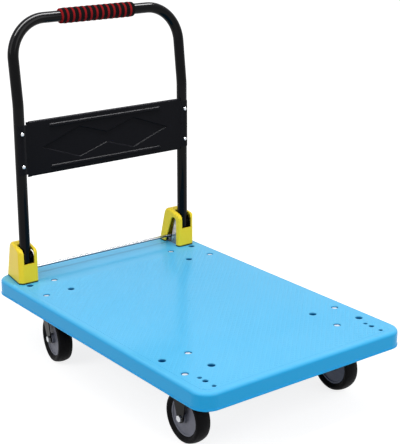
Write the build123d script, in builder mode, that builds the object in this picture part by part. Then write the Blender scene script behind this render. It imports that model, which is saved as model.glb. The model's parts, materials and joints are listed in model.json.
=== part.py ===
# Folding platform truck: a plastic deck on four casters, with a tube handle that folds down over the deck.
# Millimetres. +X points forward, away from the handle, +Y to the left, +Z up, and the floor is z = 0.
import math
import os

from build123d import *

os.makedirs("parts", exist_ok=True)

# Clearances: radial room of a running fit, radial room of a tight seat
running_clearance = 0.05
seat_clearance = 0.03

# Wheels
wheel_diameter = 125
tyre_width = 38
tyre_crown = 4
tyre_side_rise = 8
tyre_shoulder_radius = 6
tyre_side_clearance = 1.5
hub_diameter = 90
hub_rim_width = 26
hub_rim_thickness = 5
hub_web_thickness = 22
hub_boss_diameter = 26
hub_side_clearance = 1.5
hub_edge_radius = 0.8
bush_diameter = 18
bush_end_clearance = 0.3
axle_diameter = 10
axle_head_flats = 14
axle_head_height = 4.5
axle_nut_height = 8

# Caster height stack, from the wheel up to the load face of the deck
crown_clearance = 13
crown_thickness = 3
race_height = 11
caster_plate_thickness = 4
pad_depth = 32

# Caster plates and forks
caster_inset_x = 157.4
caster_inset_y = 76
bolt_spacing_x = 84.5
bolt_spacing_y = 72
caster_plate_edge = 12
caster_plate_corner = 9
fork_sheet = 2.5
leg_end_radius = 11
front_leg_width = 66
rear_leg_width = 48
crown_radius = 31
front_offset = 5
swivel_trail = 36
swivel_angle = -9

# Swivel bearing
ball_diameter = 6
ball_count = 16
race_radius = 21
race_width = 8
race_gap = 3
kingpin_diameter = 12
kingpin_head_diameter = 22
kingpin_head_height = 4
kingpin_peen_diameter = 18
kingpin_peen_height = 3
kingpin_play = 0.2
peen_room = 3

# Deck
deck_length = 900
deck_width = 600
skirt_height = 41
deck_corner_radius = 42
deck_edge_radius = 8.5
deck_wall = 4.5
rim_height = 3.5
rim_lip = 1
rib_pitch = 74
rib_thickness = 4
pad_margin = 8
gate_mark_diameter = 9
gate_mark_depth = 0.5
tread_height = 0.4
tread_margin = 20
tread_corner = 24
tread_rear_inset = 130

# Caster bolts and nuts
caster_bolt_diameter = 8
caster_bolt_room = 0.5
counterbore_diameter = 18.5
shallow_seat = 8.5
deep_seat = 22
bolt_flange_diameter = 16
bolt_flange_height = 1.5
bolt_head_flats = 13
bolt_head_height = 4.5
caster_nut_height = 6.5
thread_overhang = 1.5

# Handle tube
hinge_inset_x = 82.5
hinge_inset_y = 48
tube_diameter = 28
tube_wall = 1.5
pivot_height = 68
foot_drop = 24
kink_height = 465
kink_radius = 160
handle_height = 672
handle_lean = 6.8
bend_radius = 95

# Handle pivot
pivot_diameter = 10
pivot_bush_diameter = 14
pin_overhang = 0.5
cap_thickness = 3
cap_spigot = 8

# Hinge brackets
bracket_sheet = 2.5
bracket_side_room = 0.5
stop_gap = 0.3
cheek_radius = 15
cheek_rear = 31
tongue_taper = 8
bracket_hole_shift = 5
bracket_front_hole = 2.5
bracket_middle_hole = 22.5
bracket_rear_hole = 52.5
bracket_hole_diameter = 11
locating_hole_diameter = 14
locating_room = 0.2
locating_depth = 6
bracket_end = 12
bracket_bolt_diameter = 10
bracket_bolt_room = 0.3
bracket_bolt_flats = 17
bracket_head_height = 6.4
bracket_nut_height = 6

# Hinge covers
cover_wall = 3.5
cover_inner_room = 6
cover_outer_room = 8.5
cover_front_room = 0.5
cover_rear_room = 9
cover_front_rise = 22
cover_rear_rise = 40
cover_rear_lean = 30
cover_front_round = 16
cover_rear_round = 22
cover_taper = 8.7
cover_corner_cut = 10
cover_edge_radius = 7
cover_lip_radius = 2.5
slot_room = 1.5
sill_room = 1
roof_room = 2
arch_front = 4.5
arch_rear = 48
arch_rear_top = 15
arch_rise = 13
arch_round = 11

# Release latch
rod_diameter = 8
rod_back = 32.5
rod_height = 21.5
rod_end = 9
latch_back = 17.5
latch_height = 12.5
latch_pin_diameter = 6
lever_thickness = 6
lever_boss_radius = 5.5
lever_eye_radius = 7.5
nose_radius = 4
nose_angle = 52
nose_clearance = 0.4
clip_diameter = 13
clip_thickness = 1.2
clip_gap = 0.1

# Latch return springs
spring_wire = 1.2
spring_pitch = 2.1
spring_turns = 3.25
spring_rod_room = 0.1
spring_side_room = 0.3
spring_leg_overhang = 2.5
spring_hole_room = 0.1
spring_hole_depth = 2

# Back plate
plate_sheet = 1.2
plate_bottom = 281
plate_height = 142
plate_set_forward = 10.5
plate_bend_radius = 8
plate_wrap_angle = 50
plate_wrap_room = 0.1
plate_notch = 7
hem_radius = 2.5
hem_width = 3
hem_end = 10
rivet_diameter = 5
rivet_head_diameter = 9
rivet_head_height = 2.4
rivet_dome_share = 0.8
rivet_tail_diameter = 7.5
rivet_tail_height = 2
rivet_inset = 29
stiffener_length = 345
stiffener_width = 9
stiffener_inset = 17
emboss_depth = 2
emboss_draft = 40
diamond_reach = 195
diamond_peak = 84
diamond_rise = 41
diamond_waist = 15

# Grip
grip_length = 223
grip_diameter = 38.5
grip_ring_diameter = 40
grip_end_radius = 3
grip_ring_pitch = 17.3
grip_ring_width = 6
grip_ring_count = 12

# Heights that follow from the caster stack
wheel_radius = wheel_diameter / 2
crown_underside = wheel_diameter + crown_clearance
crown_top = crown_underside + crown_thickness
plate_underside = crown_top + race_height
pad_seat = plate_underside + caster_plate_thickness
deck_top = pad_seat + pad_depth
deck_bottom = deck_top - skirt_height
tread_top = deck_top + tread_height

# Places that follow from the deck's outline
caster_x = deck_length / 2 - caster_inset_x
caster_y = deck_width / 2 - caster_inset_y
tube_x = hinge_inset_x - deck_length / 2
tube_y = deck_width / 2 - hinge_inset_y
bracket_hole_y = tube_y - bracket_hole_shift
pivot_z = deck_top + pivot_height
tube_radius = tube_diameter / 2
fork_gap = tyre_width + 2 * tyre_side_clearance
fork_half = fork_gap / 2 + fork_sheet
sides = {"left": 1, "right": -1}
ends = {"front": 1, "rear": -1}


def keep(piece, name):
    piece.part.label = name
    export_step(piece.part, f"parts/{name}.step")


def side_plane(y):
    # upright plane along the truck at this y: sketch x is X, sketch y is Z, and extrusion runs to -Y
    return Plane.XZ.offset(-y)


def caster_frame(end, side):
    # floor point under a caster plate, x along its wheel: straight in front, turned by the swivel behind
    angle = math.radians(swivel_angle) if end < 0 else 0
    return Plane(
        origin=(end * caster_x, side * caster_y, 0),
        x_dir=(math.cos(angle), math.sin(angle), 0),
        z_dir=(0, 0, 1),
    )


def caster_side_plane(frame, y):
    # upright plane along a caster's wheel, y to the side of its middle
    return Plane(frame.from_local_coords((0, y, 0)), x_dir=frame.x_dir, z_dir=-frame.y_dir)


def trail(end):
    # how far an axle stands ahead of the middle of its caster plate
    return swivel_trail if end < 0 else front_offset


def caster_bolt_points(end, side, shallow):
    # two opposite corners of the bolt rectangle have shallow seats, the other two deep ones
    diagonal = 1 if (end, side) == (-1, 1) else -1
    points = []
    for dx in (-1, 1):
        for dy in (-1, 1):
            if (dx * dy == diagonal) == shallow:
                points.append(
                    (end * caster_x + dx * bolt_spacing_x / 2, side * caster_y + dy * bolt_spacing_y / 2)
                )
    return points


def all_caster_bolt_points(shallow):
    points = []
    for end in ends.values():
        for side in sides.values():
            points += caster_bolt_points(end, side, shallow)
    return points


# Deck: one moulding with a skirt, ribs below, solid pads over the casters and at the four handle places
skirt_inset = rim_lip + deck_wall
inner_length = deck_length - 2 * skirt_inset
inner_width = deck_width - 2 * skirt_inset
inner_radius = deck_corner_radius - skirt_inset
cells_along = round(inner_length / rib_pitch)
cells_across = round(inner_width / rib_pitch)
pad_length = bolt_spacing_x + 2 * (caster_plate_edge + pad_margin)
pad_width = bolt_spacing_y + 2 * (caster_plate_edge + pad_margin)
hole_pad_length = bracket_rear_hole - bracket_front_hole + 2 * (bracket_end + pad_margin)
hole_pad_width = 2 * (bracket_end + pad_margin)
hole_pad_x = -tube_x + (bracket_rear_hole + bracket_front_hole) / 2
tread_length = deck_length - tread_margin - tread_rear_inset

with BuildPart() as deck:
    with BuildSketch(Plane.XY.offset(deck_bottom)):
        RectangleRounded(deck_length, deck_width, deck_corner_radius)
    extrude(amount=rim_height)
    with BuildSketch(Plane.XY.offset(deck_bottom)):
        RectangleRounded(deck_length - 2 * rim_lip, deck_width - 2 * rim_lip, deck_corner_radius - rim_lip)
    extrude(amount=skirt_height)
    fillet(deck.faces().sort_by(Axis.Z)[-1].edges(), deck_edge_radius)
    with BuildSketch(Plane.XY.offset(deck_bottom)):
        RectangleRounded(inner_length, inner_width, inner_radius)
    extrude(amount=pad_seat - deck_bottom, mode=Mode.SUBTRACT)
    with BuildSketch(Plane.XY.offset(pad_seat)):
        RectangleRounded(inner_length, inner_width, inner_radius)
        with GridLocations(inner_length / cells_along, 0, cells_along - 1, 1):
            Rectangle(rib_thickness, inner_width, mode=Mode.SUBTRACT)
        with GridLocations(0, inner_width / cells_across, 1, cells_across - 1):
            Rectangle(inner_length, rib_thickness, mode=Mode.SUBTRACT)
        with GridLocations(2 * caster_x, 2 * caster_y, 2, 2):
            Rectangle(pad_length, pad_width, mode=Mode.SUBTRACT)
        with GridLocations(2 * hole_pad_x, 2 * bracket_hole_y, 2, 2):
            Rectangle(hole_pad_length, hole_pad_width, mode=Mode.SUBTRACT)
    extrude(amount=pad_depth - deck_wall, mode=Mode.SUBTRACT)
    # the anti-slip field that the load stands on, clear of the hinges
    with BuildSketch(Plane.XY.offset(deck_top)):
        with Locations(((tread_rear_inset - tread_margin) / 2, 0)):
            RectangleRounded(tread_length, deck_width - 2 * tread_margin, tread_corner)
    extrude(amount=tread_height)
    for shallow, seat in ((True, shallow_seat), (False, deep_seat)):
        with Locations(*[(x, y, tread_top) for x, y in all_caster_bolt_points(shallow)]):
            CounterBoreHole(
                caster_bolt_diameter / 2 + caster_bolt_room, counterbore_diameter / 2, seat + tread_height
            )
    for hole_x, hole_diameter in (
        (bracket_front_hole, bracket_hole_diameter),
        (bracket_middle_hole, locating_hole_diameter),
        (bracket_rear_hole, bracket_hole_diameter),
    ):
        with Locations((0, 0, tread_top)):
            with GridLocations(2 * (hole_x - tube_x), 2 * bracket_hole_y, 2, 2):
                Hole(hole_diameter / 2)
    with BuildSketch(Plane.XY.offset(pad_seat)):
        with GridLocations(2 * caster_x, 2 * caster_y, 2, 2):
            Circle(kingpin_peen_diameter / 2 + peen_room)
    extrude(amount=kingpin_peen_height + peen_room, mode=Mode.SUBTRACT)
    with BuildSketch(Plane.XY.offset(tread_top)):
        Circle(gate_mark_diameter / 2)
    extrude(amount=-gate_mark_depth, mode=Mode.SUBTRACT)
keep(deck, "deck")

# Caster bolts, with flanged hex heads in the counterbores, and their nuts under the caster plates
for depth_name, seat in (("shallow", shallow_seat), ("deep", deep_seat)):
    points = all_caster_bolt_points(depth_name == "shallow")
    with BuildPart() as caster_bolts:
        with BuildSketch(Plane.XY.offset(deck_top - seat)):
            with Locations(*points):
                Circle(bolt_flange_diameter / 2)
        extrude(amount=bolt_flange_height)
        with BuildSketch(Plane.XY.offset(deck_top - seat)):
            with Locations(*points):
                RegularPolygon(bolt_head_flats / 2, 6, major_radius=False)
        extrude(amount=bolt_flange_height + bolt_head_height)
        with BuildSketch(Plane.XY.offset(plate_underside - caster_nut_height - thread_overhang)):
            with Locations(*points):
                Circle(caster_bolt_diameter / 2)
        extrude(amount=deck_top - seat - plate_underside + caster_nut_height + thread_overhang)
    keep(caster_bolts, f"caster_bolts_{depth_name}")

with BuildPart() as caster_nuts:
    with BuildSketch(Plane.XY.offset(plate_underside)):
        with Locations(*all_caster_bolt_points(True), *all_caster_bolt_points(False)):
            RegularPolygon(bolt_head_flats / 2, 6, major_radius=False)
            Circle(caster_bolt_diameter / 2 + seat_clearance, mode=Mode.SUBTRACT)
    extrude(amount=-caster_nut_height)
keep(caster_nuts, "caster_nuts")

# Caster plates and forks. The front forks are one pressing with their plate, the rear ones turn under theirs.
caster_plate_length = bolt_spacing_x + 2 * caster_plate_edge
caster_plate_width = bolt_spacing_y + 2 * caster_plate_edge
race_ring_height = (race_height - race_gap) / 2
race_middle = (crown_top + plate_underside) / 2
ball_groove_radius = ball_diameter / 2 + running_clearance


def caster_plate_sketch(end, side):
    # plate outline with its four bolt holes
    with Locations((end * caster_x, side * caster_y)):
        RectangleRounded(caster_plate_length, caster_plate_width, caster_plate_corner)
    with Locations(*caster_bolt_points(end, side, True), *caster_bolt_points(end, side, False)):
        Circle(caster_bolt_diameter / 2 + caster_bolt_room, mode=Mode.SUBTRACT)


def race_plane(frame):
    # upright plane through a swivel's axis at the balls' middle height: sketch x runs outwards
    return Plane(frame.origin + Vector(0, 0, race_middle), x_dir=frame.x_dir, z_dir=-frame.y_dir)


def cut_ball_groove(frame):
    with BuildSketch(race_plane(frame)) as groove:
        with Locations((race_radius, 0)):
            Circle(ball_groove_radius)
    revolve(groove.sketch, axis=Axis(frame.origin, (0, 0, 1)), mode=Mode.SUBTRACT)


def fork_legs(frame, end, top, underside, width):
    # both legs: each tapers from a wide top to a round end on the axle, which it is drilled for
    for y in (-1, 1):
        with BuildSketch(caster_side_plane(frame, y * (fork_gap + fork_sheet) / 2)) as leg:
            with Locations((trail(end), wheel_radius)):
                Circle(leg_end_radius)
            with Locations((0, (top + underside) / 2)):
                Rectangle(width, top - underside)
            make_hull()
            with Locations((trail(end), wheel_radius)):
                Circle(axle_diameter / 2 + running_clearance, mode=Mode.SUBTRACT)
        extrude(leg.sketch, amount=fork_sheet / 2, both=True)


for side_name, side in sides.items():
    frame = caster_frame(1, side)
    with BuildPart() as front_fork:
        with BuildSketch(Plane.XY.offset(plate_underside)):
            caster_plate_sketch(1, side)
        extrude(amount=caster_plate_thickness)
        fork_legs(frame, 1, pad_seat, plate_underside, front_leg_width)
    keep(front_fork, f"front_fork_{side_name}")

    frame = caster_frame(-1, side)
    swivel_point = (-caster_x, side * caster_y)
    with BuildPart() as swivel_plate:
        with BuildSketch(Plane.XY.offset(plate_underside)):
            caster_plate_sketch(-1, side)
        extrude(amount=caster_plate_thickness)
        with BuildSketch(Plane.XY.offset(plate_underside)):
            with Locations(swivel_point):
                Circle(race_radius + race_width / 2)
                Circle(race_radius - race_width / 2, mode=Mode.SUBTRACT)
        extrude(amount=-race_ring_height)
        cut_ball_groove(frame)
        with Locations((*swivel_point, pad_seat)):
            Hole(kingpin_diameter / 2 + seat_clearance)
    keep(swivel_plate, f"swivel_plate_{side_name}")

    with BuildPart() as rear_fork:
        with BuildSketch(Plane(frame.origin + Vector(0, 0, crown_underside), x_dir=frame.x_dir)):
            Circle(crown_radius)
            Rectangle(rear_leg_width, 2 * fork_half)
        extrude(amount=crown_thickness)
        fork_legs(frame, -1, crown_top, crown_underside, rear_leg_width)
        with BuildSketch(Plane.XY.offset(crown_top)):
            with Locations(swivel_point):
                Circle(race_radius + race_width / 2)
                Circle(race_radius - race_width / 2, mode=Mode.SUBTRACT)
        extrude(amount=race_ring_height)
        cut_ball_groove(frame)
        with Locations((*swivel_point, crown_top)):
            Hole(kingpin_diameter / 2 + running_clearance, depth=crown_thickness)
    keep(rear_fork, f"rear_fork_{side_name}")

    with BuildPart() as swivel_balls:
        with Locations((*swivel_point, race_middle)):
            with PolarLocations(race_radius, ball_count):
                Sphere(ball_diameter / 2)
    keep(swivel_balls, f"swivel_balls_{side_name}")

    with BuildPart() as kingpin:
        with BuildSketch(Plane.XY.offset(crown_underside - kingpin_play)):
            with Locations(swivel_point):
                Circle(kingpin_head_diameter / 2)
        extrude(amount=-kingpin_head_height)
        with BuildSketch(Plane.XY.offset(crown_underside - kingpin_play)):
            with Locations(swivel_point):
                Circle(kingpin_diameter / 2)
        extrude(amount=pad_seat - crown_underside + kingpin_play)
        with BuildSketch(Plane.XY.offset(pad_seat)):
            with Locations(swivel_point):
                Circle(kingpin_peen_diameter / 2)
        extrude(amount=kingpin_peen_height)
    keep(kingpin, f"kingpin_{side_name}")

# Wheels: rubber tyre on a plastic hub, a steel bush in the hub, an axle bolt and its nut in the fork
bush_length = fork_gap - 2 * bush_end_clearance
hub_boss_width = fork_gap - 2 * hub_side_clearance
hub_radius = hub_diameter / 2


def hex_on(plane, flats, height):
    with BuildSketch(plane) as hexagon:
        RegularPolygon(flats / 2, 6, major_radius=False)
    extrude(hexagon.sketch, amount=height)


def rod_on(plane, diameter, length):
    with BuildSketch(plane) as disc:
        Circle(diameter / 2)
    extrude(disc.sketch, amount=length)


for end_name, end in ends.items():
    for side_name, side in sides.items():
        corner = f"{end_name}_{side_name}"
        frame = caster_frame(end, side)
        centre = frame.from_local_coords((trail(end), 0, wheel_radius))
        axle_line = Axis(centre, frame.y_dir)
        section = Plane(centre, x_dir=(0, 0, 1), z_dir=frame.x_dir)
        outwards = frame.y_dir * side

        with BuildPart() as tyre:
            with BuildSketch(section) as tyre_section:
                with BuildLine():
                    Polyline(
                        (wheel_radius - tyre_crown, tyre_width / 2),
                        (hub_radius + tyre_side_rise, tyre_width / 2),
                        (hub_radius, hub_rim_width / 2),
                        (hub_radius, -hub_rim_width / 2),
                        (hub_radius + tyre_side_rise, -tyre_width / 2),
                        (wheel_radius - tyre_crown, -tyre_width / 2),
                    )
                    ThreePointArc(
                        (wheel_radius - tyre_crown, -tyre_width / 2),
                        (wheel_radius, 0),
                        (wheel_radius - tyre_crown, tyre_width / 2),
                    )
                make_face()
                fillet(tyre_section.vertices().sort_by(Axis.X)[-2:], tyre_shoulder_radius)
            revolve(axis=axle_line)
        keep(tyre, f"tyre_{corner}")

        with BuildPart() as hub:
            with BuildSketch(section):
                with Locations((hub_radius - seat_clearance - hub_rim_thickness / 2, 0)):
                    Rectangle(hub_rim_thickness, hub_rim_width)
                with Locations((hub_boss_diameter / 4, 0)):
                    Rectangle(hub_boss_diameter / 2, hub_boss_width)
                with Locations(((hub_radius - hub_rim_thickness) / 2, 0)):
                    Rectangle(hub_radius - hub_rim_thickness, hub_web_thickness)
            revolve(axis=axle_line)
            fillet(hub.edges().filter_by(GeomType.CIRCLE), hub_edge_radius)
            with BuildSketch(Plane(centre, z_dir=frame.y_dir)):
                Circle(bush_diameter / 2 + seat_clearance)
            extrude(amount=hub_boss_width, both=True, mode=Mode.SUBTRACT)
        keep(hub, f"hub_{corner}")

        with BuildPart() as wheel_bush:
            with BuildSketch(Plane(centre, z_dir=frame.y_dir)):
                Circle(bush_diameter / 2)
                Circle(axle_diameter / 2 + running_clearance, mode=Mode.SUBTRACT)
            extrude(amount=bush_length / 2, both=True)
        keep(wheel_bush, f"wheel_bush_{corner}")

        with BuildPart() as axle:
            head_plane = Plane(centre + outwards * fork_half, x_dir=(0, 0, 1), z_dir=outwards)
            hex_on(head_plane, axle_head_flats, axle_head_height)
            rod_on(head_plane, axle_diameter, -2 * fork_half - axle_nut_height - thread_overhang)
        keep(axle, f"axle_{corner}")

        with BuildPart() as axle_nut:
            nut_plane = Plane(centre - outwards * fork_half, x_dir=(0, 0, 1), z_dir=-outwards)
            with BuildSketch(nut_plane):
                RegularPolygon(axle_head_flats / 2, 6, major_radius=False)
                Circle(axle_diameter / 2 + seat_clearance, mode=Mode.SUBTRACT)
            extrude(amount=axle_nut_height)
        keep(axle_nut, f"axle_nut_{corner}")

# Handle: one bent tube, up from the left hinge, across the top and down to the right hinge
top_z = deck_top + handle_height
kink_z = deck_top + kink_height
top_x = tube_x - (top_z - kink_z) * math.tan(math.radians(handle_lean))
tube_end_z = pivot_z - foot_drop + cap_thickness
bush_half = (tube_diameter + bracket_side_room) / 2
rivet_heights = (
    deck_top + plate_bottom + rivet_inset,
    deck_top + plate_bottom + plate_height - rivet_inset,
)
rivet_points = [(side * tube_y, z) for side in sides.values() for z in rivet_heights]

with BuildPart() as handle_tube:
    with BuildLine() as tube_path:
        FilletPolyline(
            (tube_x, tube_y, tube_end_z),
            (tube_x, tube_y, kink_z),
            (top_x, tube_y, top_z),
            (top_x, -tube_y, top_z),
            (tube_x, -tube_y, kink_z),
            (tube_x, -tube_y, tube_end_z),
            radius=[kink_radius, bend_radius, bend_radius, kink_radius],
        )
    with BuildSketch(Plane(tube_path.line @ 0, z_dir=tube_path.line % 0)):
        Circle(tube_radius)
        Circle(tube_radius - tube_wall, mode=Mode.SUBTRACT)
    sweep()
    for side in sides.values():
        with BuildSketch(side_plane(side * tube_y)):
            with Locations((tube_x, pivot_z)):
                Circle(pivot_bush_diameter / 2 + seat_clearance)
        extrude(amount=tube_diameter, both=True, mode=Mode.SUBTRACT)
    with BuildSketch(Plane.YZ.offset(tube_x)):
        with Locations(*rivet_points):
            Circle(rivet_diameter / 2 + seat_clearance)
    extrude(amount=tube_diameter, mode=Mode.SUBTRACT)
keep(handle_tube, "handle_tube")

with BuildPart() as pivot_bushes:
    for side in sides.values():
        with BuildSketch(side_plane(side * tube_y)):
            with Locations((tube_x, pivot_z)):
                Circle(pivot_bush_diameter / 2)
                Circle(pivot_diameter / 2 + running_clearance, mode=Mode.SUBTRACT)
        extrude(amount=bush_half, both=True)
keep(pivot_bushes, "pivot_bushes")

with BuildPart() as tube_caps:
    with BuildSketch(Plane.XY.offset(tube_end_z)):
        with GridLocations(0, 2 * tube_y, 1, 2):
            with Locations((tube_x, 0)):
                Circle(tube_radius)
    extrude(amount=-cap_thickness)
    with BuildSketch(Plane.XY.offset(tube_end_z)):
        with GridLocations(0, 2 * tube_y, 1, 2):
            with Locations((tube_x, 0)):
                Circle(tube_radius - tube_wall - seat_clearance)
    extrude(amount=cap_spigot)
keep(tube_caps, "tube_caps")

# Back plate: a sheet between the legs whose ends lap round the fronts of the tubes
web_x = tube_x + plate_set_forward
wrap_radius = tube_radius + plate_wrap_room + plate_sheet / 2
turn_x = web_x + plate_bend_radius
turn_side = math.sqrt((wrap_radius + plate_bend_radius) ** 2 - (turn_x - tube_x) ** 2)
turn_angle = math.degrees(math.atan2(turn_side, turn_x - tube_x))
web_half = tube_y - turn_side
plate_z = deck_top + plate_bottom
plate_middle = plate_z + plate_height / 2

with BuildPart() as back_plate:
    with BuildSketch(Plane.XY.offset(plate_z)):
        with BuildLine():
            Line((web_x, -web_half), (web_x, web_half))
            CenterArc((turn_x, web_half), plate_bend_radius, 180, -turn_angle)
            CenterArc((tube_x, tube_y), wrap_radius, -turn_angle, turn_angle + plate_wrap_angle)
            CenterArc((turn_x, -web_half), plate_bend_radius, 180, turn_angle)
            CenterArc((tube_x, -tube_y), wrap_radius, turn_angle, -turn_angle - plate_wrap_angle)
        trace(line_width=plate_sheet)
    extrude(amount=plate_height)
    for z in (plate_z, plate_z + plate_height):
        with Locations((tube_x, tube_y, z), (tube_x, -tube_y, z)):
            Box(2 * (wrap_radius + plate_sheet), 2 * turn_side, 2 * plate_notch, mode=Mode.SUBTRACT)
    # the long edges between the legs are folded back to a hem
    hem_half = web_half - hem_end
    hem_back = web_x - plate_sheet / 2 - hem_radius
    for edge_z, inward in ((plate_z, 1), (plate_z + plate_height, -1)):
        with Locations((web_x, 0, edge_z)):
            Box(2 * plate_sheet, 2 * hem_half, 2 * (hem_radius + plate_sheet), mode=Mode.SUBTRACT)
        with BuildSketch(side_plane(hem_half)):
            with Locations((hem_back, edge_z + inward * (hem_radius + plate_sheet))):
                Circle(hem_radius + plate_sheet)
                Circle(hem_radius, mode=Mode.SUBTRACT)
            with Locations((hem_back, edge_z + inward * (hem_radius + plate_sheet))):
                Rectangle(
                    hem_radius + plate_sheet,
                    hem_radius + plate_sheet,
                    align=(Align.MIN, Align.MAX if inward > 0 else Align.MIN),
                    mode=Mode.INTERSECT,
                )
            with Locations((hem_back, edge_z + inward * plate_sheet / 2)):
                Rectangle(hem_width, plate_sheet, align=(Align.MAX, Align.CENTER))
        extrude(amount=2 * hem_half)
    # the double diamond is pressed back, the two long ribs forward
    diamond = [
        (diamond_reach, 0),
        (diamond_peak, diamond_rise),
        (0, diamond_waist),
        (-diamond_peak, diamond_rise),
        (-diamond_reach, 0),
        (-diamond_peak, -diamond_rise),
        (0, -diamond_waist),
        (diamond_peak, -diamond_rise),
    ]
    for face_x, mode in ((web_x - plate_sheet / 2, Mode.ADD), (web_x + plate_sheet / 2, Mode.SUBTRACT)):
        with BuildSketch(Plane((face_x, 0, plate_middle), x_dir=(0, 1, 0), z_dir=(-1, 0, 0))):
            Polygon(*diamond, align=None)
        extrude(amount=emboss_depth, taper=emboss_draft, mode=mode)
    for face_x, mode in ((web_x + plate_sheet / 2, Mode.ADD), (web_x - plate_sheet / 2, Mode.SUBTRACT)):
        with BuildSketch(Plane((face_x, 0, plate_middle), x_dir=(0, 1, 0), z_dir=(1, 0, 0))):
            with GridLocations(0, plate_height - 2 * stiffener_inset, 1, 2):
                SlotOverall(stiffener_length, stiffener_width)
        extrude(amount=emboss_depth, taper=emboss_draft, mode=mode)
    with BuildSketch(Plane.YZ.offset(tube_x)):
        with Locations(*rivet_points):
            Circle(rivet_diameter / 2 + seat_clearance)
    extrude(amount=tube_diameter, mode=Mode.SUBTRACT)
keep(back_plate, "back_plate")

with BuildPart() as plate_rivets:
    head_x = tube_x + wrap_radius + plate_sheet / 2
    dome_radius = rivet_dome_share * rivet_head_height
    tube_hollow = tube_radius - tube_wall
    tail_x = tube_x + math.sqrt(tube_hollow ** 2 - (rivet_tail_diameter / 2) ** 2) - seat_clearance
    with BuildSketch(Plane.YZ.offset(head_x)):
        with Locations(*rivet_points):
            Circle(rivet_head_diameter / 2)
    extrude(amount=rivet_head_height)
    fillet(plate_rivets.faces().sort_by(Axis.X)[-len(rivet_points):].edges(), dome_radius)
    with BuildSketch(Plane.YZ.offset(tail_x)):
        with Locations(*rivet_points):
            Circle(rivet_diameter / 2)
    extrude(amount=head_x - tail_x)
    with BuildSketch(Plane.YZ.offset(tail_x)):
        with Locations(*rivet_points):
            Circle(rivet_tail_diameter / 2)
    extrude(amount=-rivet_tail_height)
keep(plate_rivets, "plate_rivets")

# Grip: a foam sleeve on the top bar with red foam rings round it
with BuildPart() as grip_sleeve:
    with BuildSketch(side_plane(0)):
        with Locations((top_x, top_z)):
            Circle(grip_diameter / 2)
            Circle(tube_radius + running_clearance, mode=Mode.SUBTRACT)
    extrude(amount=grip_length / 2, both=True)
    fillet(grip_sleeve.edges().filter_by(GeomType.CIRCLE).group_by(SortBy.RADIUS)[-1], grip_end_radius)
keep(grip_sleeve, "grip_sleeve")

with BuildPart() as grip_rings:
    for ring in range(grip_ring_count):
        ring_y = (ring - (grip_ring_count - 1) / 2) * grip_ring_pitch
        with BuildSketch(side_plane(ring_y)):
            with Locations((top_x, top_z)):
                Circle(grip_ring_diameter / 2)
                Circle(grip_diameter / 2 + seat_clearance, mode=Mode.SUBTRACT)
        extrude(amount=grip_ring_width / 2, both=True)
keep(grip_rings, "grip_rings")

# Hinges: a bracket bolted to the deck, a pivot pin, a latch pin, a cover over them, and the latch
bracket_inner = tube_radius + bracket_side_room
bracket_outer = bracket_inner + bracket_sheet
stop_front = tube_radius + stop_gap + bracket_sheet
bracket_rear = bracket_rear_hole + bracket_end
sill_height = pivot_height - tube_radius - sill_room
cover_inner = bracket_outer + cover_inner_room + cover_wall
cover_outer = bracket_outer + cover_outer_room + cover_wall
cover_half = (cover_inner + cover_outer) / 2
cover_front = stop_front + cover_front_room + cover_wall
cover_rear = bracket_rear + cover_rear_room + cover_wall
slot_half = tube_radius + slot_room
latch_x = tube_x - latch_back
latch_z = deck_top + latch_height
rod_x = tube_x - rod_back
rod_z = deck_top + rod_height
swing_radius = math.hypot(tube_radius, foot_drop)
nose_reach = swing_radius + nose_clearance + nose_radius
nose_x = tube_x - nose_reach * math.cos(math.radians(nose_angle))
nose_z = pivot_z - nose_reach * math.sin(math.radians(nose_angle))
spring_radius = rod_height - latch_height - rod_diameter / 2 - spring_rod_room - spring_wire / 2
spring_start = lever_thickness / 2 + clip_gap + clip_thickness + spring_side_room + spring_wire / 2
spring_end = spring_start + spring_pitch * spring_turns
quarter_turns = round(4 * spring_turns)
bracket_bolt_points = [
    (tube_x - hole_x, side * bracket_hole_y)
    for side in sides.values()
    for hole_x in (bracket_front_hole, bracket_rear_hole)
]


def cover_outline(foot_z):
    # side view of a hinge cover from this height up, its sloping back carried on to that height
    rise = pivot_height + cover_rear_rise
    back_slope = cover_rear_lean / rise
    Polyline(
        (tube_x + cover_front, foot_z),
        (tube_x + cover_front, pivot_z + cover_front_rise),
        (tube_x - cover_rear + cover_rear_lean, deck_top + rise),
        (tube_x - cover_rear + back_slope * (foot_z - deck_top), foot_z),
        close=True,
    )


def round_cover_top(outline):
    fillet(outline.vertices().sort_by(Axis.Y)[-1], cover_rear_round)
    fillet(outline.vertices().group_by(Axis.X)[-1].sort_by(Axis.Y)[-1], cover_front_round)


def round_cheeks(shell, radius):
    # the upright side faces of a cover and its cut corner are rounded off all along, but not at the foot
    foot = shell.faces().sort_by(Axis.Z)[0].center().Z
    least_y = math.cos(math.radians(60))
    cheeks = shell.faces().filter_by(lambda face: abs(face.normal_at().Y) > least_y)
    fillet(cheeks.edges().filter_by(lambda edge: edge.center().Z > foot + cover_wall), radius)


def arch_edges(cover, cheek_y):
    # edges of the arch on the outside of the cheek at this y, without its open foot
    on_cheek = cover.edges().filter_by_position(Axis.Y, cheek_y - seat_clearance, cheek_y + seat_clearance)
    in_arch = on_cheek.filter_by_position(Axis.X, tube_x - arch_rear, tube_x + arch_front)
    return in_arch.filter_by_position(Axis.Z, deck_top + cover_wall, pivot_z + arch_rise + cover_wall)


with BuildPart() as bracket_bolts:
    with BuildSketch(Plane.XY.offset(deck_top + bracket_sheet)):
        with Locations(*bracket_bolt_points):
            RegularPolygon(bracket_bolt_flats / 2, 6, major_radius=False)
    extrude(amount=bracket_head_height)
    with BuildSketch(Plane.XY.offset(pad_seat - bracket_nut_height - thread_overhang)):
        with Locations(*bracket_bolt_points):
            Circle(bracket_bolt_diameter / 2)
    extrude(amount=deck_top + bracket_sheet - pad_seat + bracket_nut_height + thread_overhang)
keep(bracket_bolts, "bracket_bolts")

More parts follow.
